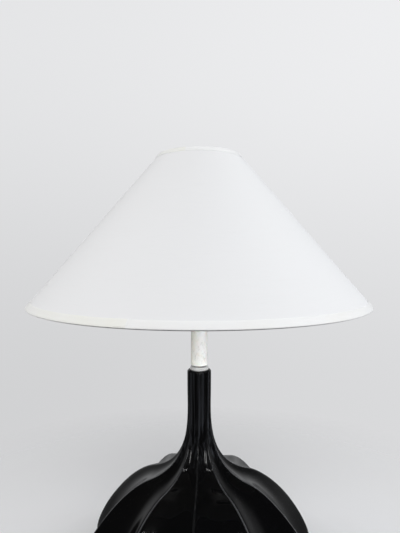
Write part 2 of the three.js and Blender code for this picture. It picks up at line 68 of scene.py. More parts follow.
def add_camera():
    data = bpy.data.cameras.new("camera")
    data.sensor_width = SENSOR
    data.lens = LENS
    data.clip_start = 0.01
    camera = bpy.data.objects.new("camera", data)
    camera.location = EYE
    camera.rotation_euler = (math.pi / 2 - LOOKING_DOWN, 0, -LOOKING_RIGHT)
    bpy.context.scene.collection.objects.link(camera)
    bpy.context.scene.camera = camera


add_camera()


# ---------------- mesh helpers
def smooth(mesh, angle):
    """Shades a mesh smooth, with its edges sharper than angle kept crisp."""
    mesh.polygons.foreach_set("use_smooth", [True] * len(mesh.polygons))
    if angle:
        mesh.set_sharp_from_angle(angle=math.radians(angle))


def mesh_object(name, verts, faces, angle=40):
    """A smooth object from points in millimetres, with its faces turned outwards."""
    mesh = bpy.data.meshes.new(name)
    mesh.from_pydata([tuple(MM * c for c in v) for v in verts], [], faces)
    mesh.validate()
    builder = bmesh.new()
    builder.from_mesh(mesh)
    bmesh.ops.recalc_face_normals(builder, faces=builder.faces)
    builder.to_mesh(mesh)
    builder.free()
    smooth(mesh, angle)
    obj = bpy.data.objects.new(name, mesh)
    bpy.context.scene.collection.objects.link(obj)
    return obj


def turned(name, outline, sides=96, shape=None, angle=40):
    """A body of revolution from (radius, height) points in millimetres, anticlockwise.

    It closes on itself, or starts and ends on the axis. shape(angle, radius, height)
    gives the radius of a point that isn't simply round.
    """
    verts, rings, faces = [], [], []
    for radius, height in outline:
        if radius < 1e-6:
            rings.append([len(verts)] * sides)
            verts.append((0, 0, height))
            continue
        ring = []
        for side in range(sides):
            turn = FULL_TURN * side / sides
            reach = shape(turn, radius, height) if shape else radius
            ring.append(len(verts))
            verts.append((reach * math.cos(turn), reach * math.sin(turn), height))
        rings.append(ring)
    pairs = list(zip(rings, rings[1:]))
    if outline[0][0] > 1e-6:
        pairs.append((rings[-1], rings[0]))
    for lower, upper in pairs:
        for side in range(sides):
            after = (side + 1) % sides
            corners = [lower[side], lower[after], upper[after], upper[side]]
            face = list(dict.fromkeys(corners))
            if len(face) > 2:
                faces.append(face)
    return mesh_object(name, verts, faces, angle)


def softened(outline, size, steps=3, closed=True):
    """The outline with each corner rounded to about size, where its edges leave room."""
    count = len(outline)
    result = []
    for i, corner in enumerate(outline):
        if not closed and i in (0, count - 1) or corner[0] < 1e-6:
            result.append(corner)
            continue
        here = Vector(corner)
        before = Vector(outline[i - 1]) - here
        after = Vector(outline[(i + 1) % count]) - here
        room = min(size, 0.45 * before.length, 0.45 * after.length)
        if before.angle(after, 0) > math.radians(170) or room < 0.01:
            result.append(corner)
            continue
        start = here + before.normalized() * room
        end = here + after.normalized() * room
        for step in range(steps + 1):
            t = step / steps
            point = start * (1 - t) ** 2 + here * 2 * t * (1 - t) + end * t * t
            result.append((point.x, point.y))
    return result


def bezier(p0, p1, p2, p3, count):
    points = []
    for step in range(count + 1):
        t = step / count
        s = 1 - t
        weights = (s ** 3, 3 * s * s * t, 3 * s * t * t, t ** 3)
        points.append(tuple(sum(w * p[k] for w, p in zip(weights, (p0, p1, p2, p3))) for k in (0, 1)))
    return points


def arc(centre, radius, start, end, count, squash=1.0):
    """Points of an arc in degrees; squash scales its height."""
    points = []
    for step in range(count + 1):
        turn = math.radians(start + (end - start) * step / count)
        points.append((centre[0] + radius * math.cos(turn), centre[1] + squash * radius * math.sin(turn)))
    return points


def refined(outline, step):
    """The outline with points added so that none are further apart than step."""
    result = []
    for i, here in enumerate(outline):
        result.append(here)
        after = outline[(i + 1) % len(outline)]
        length = math.dist(here, after)
        extra = int(length / step)
        for k in range(1, extra + 1):
            t = k / (extra + 1)
            result.append((here[0] + (after[0] - here[0]) * t, here[1] + (after[1] - here[1]) * t))
    return result


def smooth_path(points, count):
    """A Catmull-Rom curve through 3-D points."""
    pts = [Vector(p) for p in points]
    pts = [2 * pts[0] - pts[1], *pts, 2 * pts[-1] - pts[-2]]
    result = []
    for step in range(count + 1):
        at = step / count * (len(pts) - 3)
        k = min(int(at), len(pts) - 4)
        t = at - k
        a, b, c, d = pts[k : k + 4]
        bend = 2 * b + (c - a) * t + (2 * a - 5 * b + 4 * c - d) * t * t
        result.append(0.5 * (bend + (3 * b - a - 3 * c + d) * t ** 3))
    return result


def swept(name, path, radius, sides=16, radii=None):
    """A round bar along a path of points; radii gives each point its own radius."""
    verts, faces = [], []
    normal = None
    for i, here in enumerate(path):
        ahead = path[min(i + 1, len(path) - 1)] - path[max(i - 1, 0)]
        tangent = ahead.normalized()
        if normal is None:
            normal = tangent.orthogonal().normalized()
        normal = (normal - tangent * normal.dot(tangent)).normalized()
        side_way = tangent.cross(normal)
        reach = radii[i] if radii else radius
        for side in range(sides):
            turn = FULL_TURN * side / sides
            verts.append(here + reach * (math.cos(turn) * normal + math.sin(turn) * side_way))
    for i in range(len(path) - 1):
        for side in range(sides):
            after = (side + 1) % sides
            low, high = i * sides, (i + 1) * sides
            faces.append([low + side, low + after, high + after, high + side])
    faces.append(list(range(sides))[::-1])
    faces.append([(len(path) - 1) * sides + side for side in range(sides)])
    return mesh_object(name, verts, faces)


def flat_ring(bore, radius, low, high):
    """The section of a washer or a flat ring."""
    return [(bore, low), (radius, low), (radius, high), (bore, high)]


def upright(radius, low, high, rows):
    """Points straight up an outline, close enough for a thread."""
    return [(radius, low + (high - low) * row / rows) for row in range(rows + 1)]


# ---------------- material helpers
def add_node(tree, kind, *numbered, **named):
    """A shader node. Its inputs come in order or by name, as values or as sockets to link."""
    node = tree.nodes.new("ShaderNode" + kind)
    named = {name.replace("_", " "): value for name, value in named.items()}
    for key, value in [*enumerate(numbered), *named.items()]:
        if isinstance(value, bpy.types.NodeSocket):
            tree.links.new(value, node.inputs[key])
        else:
            node.inputs[key].default_value = value
    return node


def calculated(tree, operation, *values):
    node = add_node(tree, "Math", *values)
    node.operation = operation
    return node.outputs["Value"]


class Look:
    """A material under construction: a Principled shader and helpers to vary it."""

    def __init__(self, name, colour, roughness, metallic=0.0, **sockets):
        self.material = bpy.data.materials.new(name)
        self.material.use_nodes = True
        self.tree = self.material.node_tree
        self.links = self.tree.links
        self.shader = self.tree.nodes["Principled BSDF"]
        self.colour = (*colour, 1)
        sockets.update(Base_Color=self.colour, Roughness=roughness, Metallic=metallic)
        for socket, value in sockets.items():
            self.shader.inputs[socket.replace("_", " ")].default_value = value
        self.place = self.node("TexCoord").outputs["Object"]

    def node(self, kind, *numbered, **named):
        return add_node(self.tree, kind, *numbered, **named)

    def stretched(self, x, y, z):
        return self.node("Mapping", Vector=self.place, Scale=(x, y, z)).outputs["Vector"]

    def noise(self, scale, detail=3.0, rough=0.5, place=None, distortion=0.0):
        kind = {"Scale": scale, "Detail": detail, "Roughness": rough, "Distortion": distortion}
        return self.node("TexNoise", Vector=place or self.place, **kind).outputs["Fac"]

    def cells(self, scale):
        return self.node("TexVoronoi", Vector=self.place, Scale=scale).outputs["Distance"]

    def waves(self, scale, direction, distortion):
        node = self.node("TexWave", Vector=self.place, Scale=scale, Distortion=distortion)
        node.bands_direction = direction
        return node.outputs["Fac"]

    def ramp(self, value, low, high, to_low=0.0, to_high=1.0):
        return self.node("MapRange", value, low, high, to_low, to_high).outputs["Result"]

    def combine(self, first, second, operation="MULTIPLY"):
        return calculated(self.tree, operation, first, second)

    def axis(self, letter):
        return self.node("SeparateXYZ", self.place).outputs[letter]

    def turn(self):
        """The angle round the lamp's axis, in radians from +X."""
        return self.combine(self.axis("Y"), self.axis("X"), "ARCTAN2")

    def tint(self, factor, colour):
        """Mixes another colour over what the base colour is so far."""
        node = self.node("Mix", Factor=factor)
        node.data_type = "RGBA"
        first, second = (s for s in node.inputs if s.type == "RGBA")
        base = self.shader.inputs["Base Color"]
        if base.links:
            self.links.new(base.links[0].from_socket, first)
        else:
            first.default_value = self.colour
        second.default_value = (*colour, 1)
        self.links.new(next(s for s in node.outputs if s.type == "RGBA"), base)

    def texture(self, value):
        """The noise that a tuple of scale, detail and roughness stands for."""
        return self.noise(*value) if isinstance(value, tuple) else value

    def stain(self, texture, low, high, colour, most=1.0):
        """Tints to another colour where a texture rises from low to high."""
        self.tint(self.ramp(self.texture(texture), low, high, 0, most), colour)

    def roughen(self, texture, low, high):
        value = self.texture(texture)
        self.links.new(self.ramp(value, 0.3, 0.7, low, high), self.shader.inputs["Roughness"])

    def bump(self, texture, distance, strength=1.0):
        """Adds relief; distance is in metres."""
        value = self.texture(texture)
        node = self.node("Bump", Height=value, Distance=distance, Strength=strength)
        normal = self.shader.inputs["Normal"]
        if normal.links:
            self.links.new(normal.links[0].from_socket, node.inputs["Normal"])
        self.links.new(node.outputs["Normal"], normal)


def crest_lines(look):
    """1 along the ridges' crests and 0 beside them: thinner glaze there, and a painted highlight. The lines
    are faint on the crests at the front and back, and fade out towards the neck.
    """
    turns = look.combine(look.combine(look.turn(), FIRST_RIDGE, "SUBTRACT"), RIDGE_PITCH, "DIVIDE")
    off = look.combine(look.combine(turns, look.combine(turns, 0, "ROUND"), "SUBTRACT"), 0, "ABSOLUTE")
    across = look.combine(look.axis("X"), 2, "POWER")
    radius = look.combine(look.combine(across, look.combine(look.axis("Y"), 2, "POWER"), "ADD"), 0.5, "POWER")
    distance = look.combine(look.combine(off, RIDGE_PITCH), radius)
    line = look.ramp(distance, 0.0018, 0.0003)
    # Keeps the painted crest highlights faint on the crests at the front and back.
    aside = look.ramp(look.combine(look.axis("X"), 0, "ABSOLUTE"), 0.012, 0.04, 0.12)
    below_neck = look.ramp(look.axis("Z"), 0.33, 0.25)
    return look.combine(line, look.combine(aside, below_neck))


def black_glaze():
    """A deep gloss that pools in the flutes and runs thin over the crests, with lighter crest lines that are
    partly painted highlight, and a few pinholes.
    """
    look = Look("black_glaze", (0.0007, 0.0007, 0.0009), 0.06, IOR=1.45)
    look.stain((9, 2), 0.45, 0.75, (0.0028, 0.0025, 0.0022), 0.5)
    runs = look.noise(1, 2, 0.4, place=look.stretched(330, 330, 5))
    on_neck = look.ramp(look.axis("Z"), 0.235, 0.3)
    look.tint(look.combine(look.ramp(runs, 0.46, 0.62), on_neck), (0.02, 0.021, 0.024))
    # Lighter lines along the crests: partly thinner glaze, partly painted highlight.
    crest_glaze_and_highlight = look.combine(crest_lines(look), look.ramp(look.noise(34, 4, 0.6), 0.25, 0.6, 0.45, 1))
    look.tint(crest_glaze_and_highlight, (0.06, 0.061, 0.064))
    look.roughen((26, 4, 0.6), 0.05, 0.15)
    pinholes = look.ramp(look.cells(330), 0.06, 0.02)
    look.bump(look.combine(pinholes, look.ramp(look.noise(60, 2), 0.62, 0.7)), 0.00008)
    look.bump((38, 2, 0.4), 0.0002, 0.5)
    return look.material


def biscuit():
    look = Look("biscuit", (0.62, 0.55, 0.46), 0.85)
    look.stain((40, 5), 0.4, 0.7, (0.5, 0.43, 0.35))
    look.roughen((90, 3), 0.75, 0.95)
    look.bump((420, 4, 0.7), 0.0002)
    return look.material


def felt():
    look = Look("felt", (0.03, 0.03, 0.032), 0.95, Sheen_Weight=0.5, Sheen_Roughness=0.6)
    look.stain((260, 5, 0.8), 0.4, 0.65, (0.075, 0.073, 0.07))
    look.bump(look.noise(900, 4, 0.8, distortion=1.5), 0.0005)
    return look.material


def black_rubber():
    look = Look("black_rubber", (0.014, 0.014, 0.014), 0.6)
    look.stain((120, 4), 0.5, 0.75, (0.045, 0.044, 0.042), 0.6)
    look.roughen((200, 3), 0.5, 0.75)
    look.bump((700, 3), 0.0001)
    return look.material


def zinc_steel():
    look = Look("zinc_steel", (0.56, 0.57, 0.58), 0.3, 1.0)
    look.tint(look.ramp(look.cells(240), 0.2, 0.5, 0, 0.7), (0.45, 0.47, 0.5))
    look.stain((70, 4), 0.6, 0.75, (0.42, 0.36, 0.27), 0.5)
    look.roughen((150, 4, 0.6), 0.22, 0.42)
    look.bump((800, 3), 0.00003)
    return look.material


def pale_steel():
    look = Look("pale_steel", (0.86, 0.86, 0.85), 0.34, 0.45)
    look.stain((80, 4), 0.5, 0.72, (0.62, 0.62, 0.6), 0.6)
    rings = look.noise(900, 2, place=look.stretched(0.05, 0.05, 1))
    look.roughen(rings, 0.2, 0.36)
    look.bump(rings, 0.00003)
    return look.material


def cream_plastic():
    """A moulded tube, tinted yellower towards one side, with stains and rub marks, and a painted shade line
    at its foot.
    """
    look = Look("cream_plastic", (0.87, 0.87, 0.85), 0.38, Subsurface_Weight=0.08, Subsurface_Scale=0.004)
    # Tints the tube yellower and a little darker towards -X, its left side in the main view.
    look.tint(look.ramp(look.axis("X"), 0.002, -0.012, 0, 0.8), (0.86, 0.84, 0.75))
    stains = look.noise(140, 4, 0.6)
    look.tint(look.ramp(stains, 0.52, 0.64, 0, 0.6), (0.78, 0.75, 0.67))
    rubs = look.noise(380, 5, 0.75, place=look.stretched(1, 1, 0.35))
    near_foot = look.ramp(look.axis("Z"), 0.455, 0.41)
    look.tint(look.combine(look.ramp(rubs, 0.55, 0.66, 0, 0.75), near_foot), (0.5, 0.49, 0.47))
    # Painted shade: a dark band round the tube's narrow foot, where it sits on the collar.
    look.tint(look.ramp(look.axis("Z"), STEM_FOOT + 0.0024, STEM_FOOT + 0.0014, 0, 0.85), (0.1, 0.1, 0.1))
    look.roughen(rubs, 0.3, 0.5)
    look.bump(rubs, 0.00005)
    return look.material


def white_plastic():
    look = Look("white_plastic", (0.84, 0.83, 0.78), 0.3, Subsurface_Weight=0.06, Subsurface_Scale=0.003)
    look.stain((60, 4), 0.45, 0.75, (0.78, 0.75, 0.66), 0.6)
    look.roughen((180, 4), 0.24, 0.42)
    look.bump((650, 3), 0.00004)
    return look.material


def brass():
    look = Look("brass", (0.7, 0.5, 0.22), 0.25, 1.0)
    look.stain((90, 5), 0.5, 0.75, (0.42, 0.28, 0.12), 0.8)
    look.roughen((200, 4), 0.2, 0.45)
    look.bump((500, 3), 0.00003)
    return look.material


def shade_outside():
    """Fine woven cover, laminated flat, with a few long slubs."""
    sheen = {"Sheen_Weight": 0.06, "Sheen_Roughness": 0.5, "Specular_IOR_Level": 0.12}
    look = Look("shade_outside", (0.83, 0.83, 0.835), 0.8, **sheen)
    slubs = look.noise(1.0, 4, 0.65, place=look.stretched(40, 40, 900))
    look.tint(look.ramp(slubs, 0.5, 0.75, 0, 0.35), (0.795, 0.795, 0.795))
    look.stain((3.5, 3), 0.45, 0.75, (0.8, 0.8, 0.79), 0.25)
    look.roughen((240, 3), 0.72, 0.9)
    look.bump(slubs, 0.00005)
    look.bump((1600, 2), 0.00005)
    return look.material


def shade_inside():
    """The smooth plastic film behind the cover."""
    look = Look("shade_inside", (0.86, 0.855, 0.83), 0.4)
    look.stain((6, 4), 0.45, 0.75, (0.82, 0.8, 0.74), 0.5)
    look.roughen((50, 4), 0.34, 0.55)
    look.bump((25, 2), 0.0002)
    return look.material


def shade_tape():
    """Woven binding tape, yellowed towards the end that laps over its start."""
    look = Look("shade_tape", (0.9, 0.9, 0.895), 0.72, Sheen_Weight=0.2, Sheen_Roughness=0.4)
    look.stain((14, 3), 0.5, 0.72, (0.86, 0.85, 0.8), 0.4)
    before_end = look.combine(look.turn(), TAPE_END, "SUBTRACT")
    aged = look.combine(look.ramp(before_end, -1.2, -0.1), look.combine(before_end, 0, "LESS_THAN"))
    look.tint(look.combine(aged, look.ramp(look.noise(20, 3), 0.3, 0.6, 0.4, 0.9)), (0.875, 0.872, 0.81))
    threads = look.waves(420, "Z", 1.5)
    look.roughen((300, 3), 0.6, 0.82)
    look.bump(look.combine(threads, look.noise(900, 2), "ADD"), 0.00007)
    return look.material


def white_wire():
    look = Look("white_wire", (0.82, 0.82, 0.8), 0.35)
    look.stain((60, 4), 0.55, 0.75, (0.72, 0.7, 0.64), 0.5)
    look.roughen((160, 4), 0.28, 0.48)
    look.bump((380, 3), 0.00008)
    return look.material


def opal_glass():
    look = Look("opal_glass", (0.9, 0.895, 0.87), 0.2, Subsurface_Weight=0.3, Subsurface_Scale=0.01)
    look.stain((30, 3), 0.45, 0.75, (0.86, 0.85, 0.81), 0.4)
    look.roughen((120, 3), 0.16, 0.28)
    look.bump((60, 2), 0.00008)
    return look.material


def dark_glass():
    look = Look("dark_glass", (0.02, 0.016, 0.012), 0.12, Coat_Weight=0.4)
    look.stain((140, 4), 0.5, 0.7, (0.05, 0.035, 0.025), 0.6)
    look.roughen((160, 3), 0.08, 0.25)
    look.bump((300, 3), 0.0001)
    return look.material


def clear_glass():
    look = Look("clear_glass", (0.86, 0.9, 0.88), 0.04, Transmission_Weight=0.9, IOR=1.5)
    look.roughen((90, 3), 0.02, 0.09)
    look.bump((120, 2), 0.00008)
    return look.material


def tungsten():
    look = Look("tungsten", (0.3, 0.3, 0.32), 0.35, 1.0)
    look.stain((300, 4), 0.45, 0.7, (0.2, 0.2, 0.23))
    look.roughen((400, 3), 0.3, 0.5)
    return look.material


LOOKS = {}


def finish_with(obj, *makers):
    """Gives an object its materials, making each material once."""
    obj.data.materials.clear()
    for maker in makers:
        if maker not in LOOKS:
            LOOKS[maker] = maker()
        obj.data.materials.append(LOOKS[maker])


def piece(obj, body, slot, node, *makers):
    """Rides a piece on its body and puts it in a CAD node's place, if it takes one."""
    finish_with(obj, *makers)
    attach(obj, body)
    if node:
        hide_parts(node)
    return obj


# ---------------- ceramic body
RIDGES = 10
SIDES_PER_RIDGE = 48
RIDGE_PITCH = FULL_TURN / RIDGES
FIRST_RIDGE = math.radians(-94)
FLUTE_SHARE = 0.14
CREST_ROUNDING = 0.08
FLUTE_TOP = 368
FLUTE_FULL = 212
FLUTE_FADE = 80
FOOT_BOTTOM = 2.3
FOOT_RADIUS = 104
FELT_WIDTH = 12
FLOOR_BOTTOM = 13
FLOOR_TOP = 22
WALL = 8
WIDEST = (190, 88)
SHOULDER = (80, 218.5)
SHOULDER_SLOPE = math.radians(14.4)
NECK_RADIUS = 18.4
NECK_FLARE_START = 353
NECK_FLARE_PULL = 51
NECK_FOOT_PULL = 68
SHOULDER_PULL = 52
BELLY_PULL = 28
UNDERSIDE_PULL = 44
FOOT_PULL = (34, 24)
NECK_BORE = 9
BASE_HEIGHT = 384
LIP_ROUNDING = 3.4
INLET_HOLE = 7.3


def smoothstep(value, low, high):
    t = min(max((value - low) / (high - low), 0), 1)
    return t * t * (3 - 2 * t)


def flute_share(turn, height):
    """The body's radius at an angle, as a share of its ridges' radius at that height."""
    strength = smoothstep(FLUTE_TOP - height, 0, FLUTE_TOP - FLUTE_FULL)
    strength *= smoothstep(height, FOOT_BOTTOM, FLUTE_FADE)
    turns = (turn - FIRST_RIDGE) / RIDGE_PITCH
    from_ridge = 2 * abs(turns - round(turns))
    rounded = math.hypot(from_ridge, CREST_ROUNDING) - CREST_ROUNDING
    reach = rounded / (math.hypot(1, CREST_ROUNDING) - CREST_ROUNDING)
    return 1 - FLUTE_SHARE * strength * (2 * reach - reach * reach)


def hand_made(turn, radius, height):
    """The fluted radius, with the slight unevenness of a cast and glazed body."""
    reach = radius * flute_share(turn, height)
    place = Vector((radius * math.cos(turn), radius * math.sin(turn), height))
    uneven = noise.noise(place * 0.012) * 0.9 + noise.noise(place * 0.04) * 0.25
    runs = noise.noise(Vector((math.cos(turn) * 2.6, math.sin(turn) * 2.6, height * 0.006)))
    on_neck = smoothstep(radius, 15, NECK_RADIUS) * (1 - smoothstep(radius, 30, 60))
    return reach + uneven * smoothstep(radius, 16, 60) + 0.3 * runs * on_neck


def along_slope(point, length):
    return (point[0] + length * math.cos(SHOULDER_SLOPE), point[1] - length * math.sin(SHOULDER_SLOPE))


def inside_of(points):
    """The points of a curve that runs downwards, moved inwards by the wall's thickness."""
    result = []
    for i, here in enumerate(points):
        ahead = Vector(points[min(i + 1, len(points) - 1)]) - Vector(points[max(i - 1, 0)])
        ahead.normalize()
        radius = here[0] + ahead.y * WALL
        result.append((max(radius, NECK_BORE), here[1] - ahead.x * WALL))
    return result


def add_ceramic_body():
    """A hollow body whose outline runs up the outside, over the lip and down the inside."""
    flare = (NECK_RADIUS, NECK_FLARE_START)
    below_flare = (NECK_RADIUS, NECK_FLARE_START - NECK_FLARE_PULL)
    neck = bezier(flare, below_flare, along_slope(SHOULDER, -NECK_FOOT_PULL), SHOULDER, 44)
    above_widest = (WIDEST[0], WIDEST[1] + BELLY_PULL)
    belly = bezier(SHOULDER, along_slope(SHOULDER, SHOULDER_PULL), above_widest, WIDEST, 36)
    below_widest = (WIDEST[0], WIDEST[1] - UNDERSIDE_PULL)
    above_foot = (FOOT_RADIUS + FOOT_PULL[0], FOOT_BOTTOM + FOOT_PULL[1])
    foot = bezier(WIDEST, below_widest, above_foot, (FOOT_RADIUS, FOOT_BOTTOM + 3), 30)
    lip_centre = (NECK_RADIUS - LIP_ROUNDING, BASE_HEIGHT - LIP_ROUNDING)
    lip = arc(lip_centre, LIP_ROUNDING, 0, 90, 8)
    outside = foot[::-1] + belly[::-1][1:] + neck[::-1][1:] + lip
    bore = [(NECK_BORE + 0.8, BASE_HEIGHT), (NECK_BORE, BASE_HEIGHT - 0.8)]
    inside = inside_of(neck[8::2]) + inside_of(belly[::3])[1:] + inside_of(foot[::3])[1:]
    inside = [p for p in inside if p[1] > FLOOR_TOP + 2]
    floor = [
        (inside[-1][0] - 10, FLOOR_TOP),
        (6, FLOOR_TOP),
        (6, FLOOR_BOTTOM + 0.5),
        (6.5, FLOOR_BOTTOM),
        (FOOT_RADIUS - 17, FLOOR_BOTTOM),
        (FOOT_RADIUS - 15, FLOOR_BOTTOM - 0.8),
        (FOOT_RADIUS - 12.3, FOOT_BOTTOM + 0.6),
        (FOOT_RADIUS - 11.6, FOOT_BOTTOM),
        (FOOT_RADIUS - 2, FOOT_BOTTOM),
        (FOOT_RADIUS - 0.8, FOOT_BOTTOM + 0.7),
    ]
    outline = outside + bore + inside + floor
    body = turned("glazed_body", outline, SIDES_PER_RIDGE * RIDGES, hand_made)
    cut_hole(body)
    finish_with(body, black_glaze, biscuit)
    for face in body.data.polygons:
        low = face.center.z / MM
        reach = math.hypot(face.center.x, face.center.y) / MM
        underside = low < FLOOR_BOTTOM + 0.5 and reach < FOOT_RADIUS - 1
        hidden = reach < NECK_BORE + 0.5 or low > FLOOR_TOP - 4 and face.normal.dot(face.center) < -0.02
        face.material_index = 1 if underside or hidden else 0
    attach(body, "base")
    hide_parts("ceramic_body")


def cut_hole(body):
    """Opens the cord inlet through the back wall."""
    tool = turned("hole_tool", flat_ring(0, INLET_HOLE, -30, 30), 48)
    tool.matrix_world = place_inlet()
    bpy.context.view_layer.update()
    cutter = body.modifiers.new("inlet", "BOOLEAN")
    cutter.operation = "DIFFERENCE"
    cutter.solver = "EXACT"
    cutter.object = tool
    bpy.context.view_layer.update()
    result = bpy.data.meshes.new_from_object(body.evaluated_get(bpy.context.evaluated_depsgraph_get()))
    body.modifiers.clear()
    body.data = result
    result.name = body.name
    bpy.data.objects.remove(tool)
    smooth(result, 40)


def place_inlet():
    """Lays a piece made along Z on the inlet's axis, which points straight out of the back."""
    low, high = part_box("cord_bushing")
    middle = (Vector(low) + Vector(high)) / 2
    return Matrix.Translation(middle) @ Matrix.Rotation(-math.pi / 2, 4, "X")


def add_bushing():
    outer, inner = 7, 5
    outline = [(inner, -9.8), (outer - 0.4, -9.8), (outer, -9.2), (outer, 8.4), (outer - 0.1, 9.3)]
    outline += [(outer - 0.6, 9.9), (inner + 0.8, 9.9), (inner + 0.2, 9.4), (inner, 8.6)]
    bushing = turned("inlet_bushing", softened(outline, 0.5), 48)
    bushing.data.transform(place_inlet())
    piece(bushing, "base", "black_rubber", "cord_bushing", black_rubber)


def add_felt():
    radius, low, high = span("felt_ring")
    outline = softened(flat_ring(FOOT_RADIUS - FELT_WIDTH, radius, low, high), 0.5, 4)

    def frayed(turn, reach, height):
        place = Vector((math.cos(turn) * 40, math.sin(turn) * 40, height))
        return reach + 0.25 * noise.noise(place)

    ring = turned("felt_pad", refined(outline, 2.5), 360, frayed)
    piece(ring, "base", "felt", "felt_ring", felt)


add_ceramic_body()
add_bushing()
add_felt()


# ---------------- rod and fasteners
ROD_HOLE = 5.3  # inner radius of what the rod runs through
ROD_BORE = 3.4
ROD_PITCH = 1.5
ROD_THREAD = 0.55
LOCK_TEETH = 12
TOOTH_DEPTH = 1.1


def helix(pitch, depth, low, high):
    """A screw thread between two heights, running out at its ends."""

    def shape(turn, radius, height):
        phase = (height / pitch - turn / FULL_TURN) % 1
        crest = 1 - abs(2 * phase - 1)
        fade = min(1, max(0, (height - low) / pitch), max(0, (high - height) / pitch))
        return radius - depth * (1 - crest) * fade

    return shape


def add_washer(name, node, edge, sides):
    washer = turned(name, softened(flat_ring(ROD_HOLE, *span(node)), edge), sides)
    piece(washer, "base", "zinc_steel", node, zinc_steel)


def add_rod():
    radius, low, high = span("threaded_rod")
    rows = math.ceil((high - low) * 4 / ROD_PITCH)
    thread = upright(radius, low + 0.6, high - 0.6, rows)
    outline = [(ROD_BORE, low), (radius - 0.6, low), *thread, (radius - 0.6, high), (ROD_BORE, high)]
    rod = turned("rod", outline, 20, helix(ROD_PITCH, ROD_THREAD, low, high), angle=60)
    piece(rod, "base", "zinc_steel", "threaded_rod", zinc_steel)
    add_washer("floor_washer", "base_washer", 0.4, 72)

    radius, low, high = span("base_lock_washer")

    def teeth(turn, reach, height):
        if reach < radius - 2:
            return reach
        return reach - (0 if (turn * LOCK_TEETH / FULL_TURN) % 1 < 0.5 else TOOTH_DEPTH)

    outline = [(ROD_HOLE, low), (radius - 2.4, low), (radius, low), (radius, high), (ROD_HOLE, high)]
    outline = softened(outline, 0.2)
    lock = turned("toothed_washer", outline, 144, teeth)
    piece(lock, "base", "zinc_steel", "base_lock_washer", zinc_steel)
    add_nut()


def add_nut():
    """A hexagon nut whose corners are chamfered by a cone above and below."""
    low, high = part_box("base_nut")
    bottom, top = low[2] / MM, high[2] / MM
    flat = (high[1] - low[1]) / 2 / MM
    corner = 2 * flat / math.sqrt(3)

    def hexagon(turn, reach, height):
        if reach < flat - 1.5:
            return reach
        edge = flat / math.cos((turn + math.pi / 6) % (math.pi / 3) - math.pi / 6)
        chamfer = flat + 0.35 + 1.8 * min(height - bottom, top - height)
        return min(edge, chamfer) if reach > flat - 0.2 else reach

    bevel = ROD_HOLE + 0.6
    outline = [(ROD_HOLE, bottom + 0.5), (bevel, bottom), (flat - 1, bottom)]
    outline += upright(corner, bottom, top, 16)
    outline += [(flat - 1, top), (bevel, top), (ROD_HOLE, top - 0.5)]
    nut = turned("hexagon_nut", outline, 144, hexagon, angle=25)
    piece(nut, "base", "zinc_steel", "base_nut", zinc_steel)


add_rod()


# ---------------- stem
STEM_RADIUS = 12.75
STEM_BORE = 10.75
STEM_RECESS = 2.2  # height of the narrow foot
STEM_GROOVES = (4.4, 6.2, 8)  # heights above the foot


def add_stem():
    radius, low, high = span("neck_collar")
    seat = BASE_HEIGHT + 0.3
    spigot = NECK_BORE - 0.3
    outline = [(ROD_HOLE, low), (spigot, low), (spigot, seat), (radius - 0.3, seat), (radius, seat + 0.5)]
    outline += [(radius, seat + 1.6), (radius - 0.5, seat + 2), (radius - 1, seat + 2.1)]
    outline += [(radius - 1.1, high), (ROD_HOLE, high)]
    piece(turned("collar", softened(outline, 0.3), 120), "base", "pale_steel", "neck_collar", pale_steel)

    _, low, high = span("stem_tube")
    radius, narrow, lip = STEM_RADIUS, STEM_RADIUS - 1.7, STEM_RADIUS + 0.45
    top = low + STEM_RECESS
    outline = [(STEM_BORE, low + 0.1), (STEM_BORE + 0.1, low), (narrow, low), (narrow, top - 0.3)]
    outline += [(radius, top), (lip, top + 0.4), (lip, top + 1)]
    for groove in STEM_GROOVES:
        outline += [
            (radius + 0.4, low + groove - 0.5),
            (radius - 0.2, low + groove - 0.25),
            (radius - 0.2, low + groove + 0.25),
            (radius + 0.4, low + groove + 0.5),
        ]
    outline += [(radius + 0.2, low + 9), (radius, low + 10), (radius, high - 0.6), (radius - 0.4, high)]
    outline += [(STEM_BORE + 0.3, high), (STEM_BORE, high - 0.4)]
    tube = turned("stem", refined(softened(outline, 0.2, 2), 6), 120, angle=50)
    piece(tube, "base", "cream_plastic", "stem_tube", cream_plastic)
    add_washer("stem_washer", "stem_top_washer", 0.35, 96)


add_stem()


# ---------------- lampholder
HOLDER_RADIUS = 19.4
HOLDER_WALL = 2.1
HOLDER_PITCH = 2.5
HOLDER_THREAD = 0.7
CAP_FLAT = 9.6
CAP_ROUNDING = 9.8
RING_BORE = HOLDER_RADIUS + 0.4
BULB_PITCH = 3.63  # of an E27 screw
CONTACT_BORE = 13.6
CONTACT_THREAD = -0.25  # pressed outwards
RING_GRIPS = 24
GRIP_DEPTH = 0.9


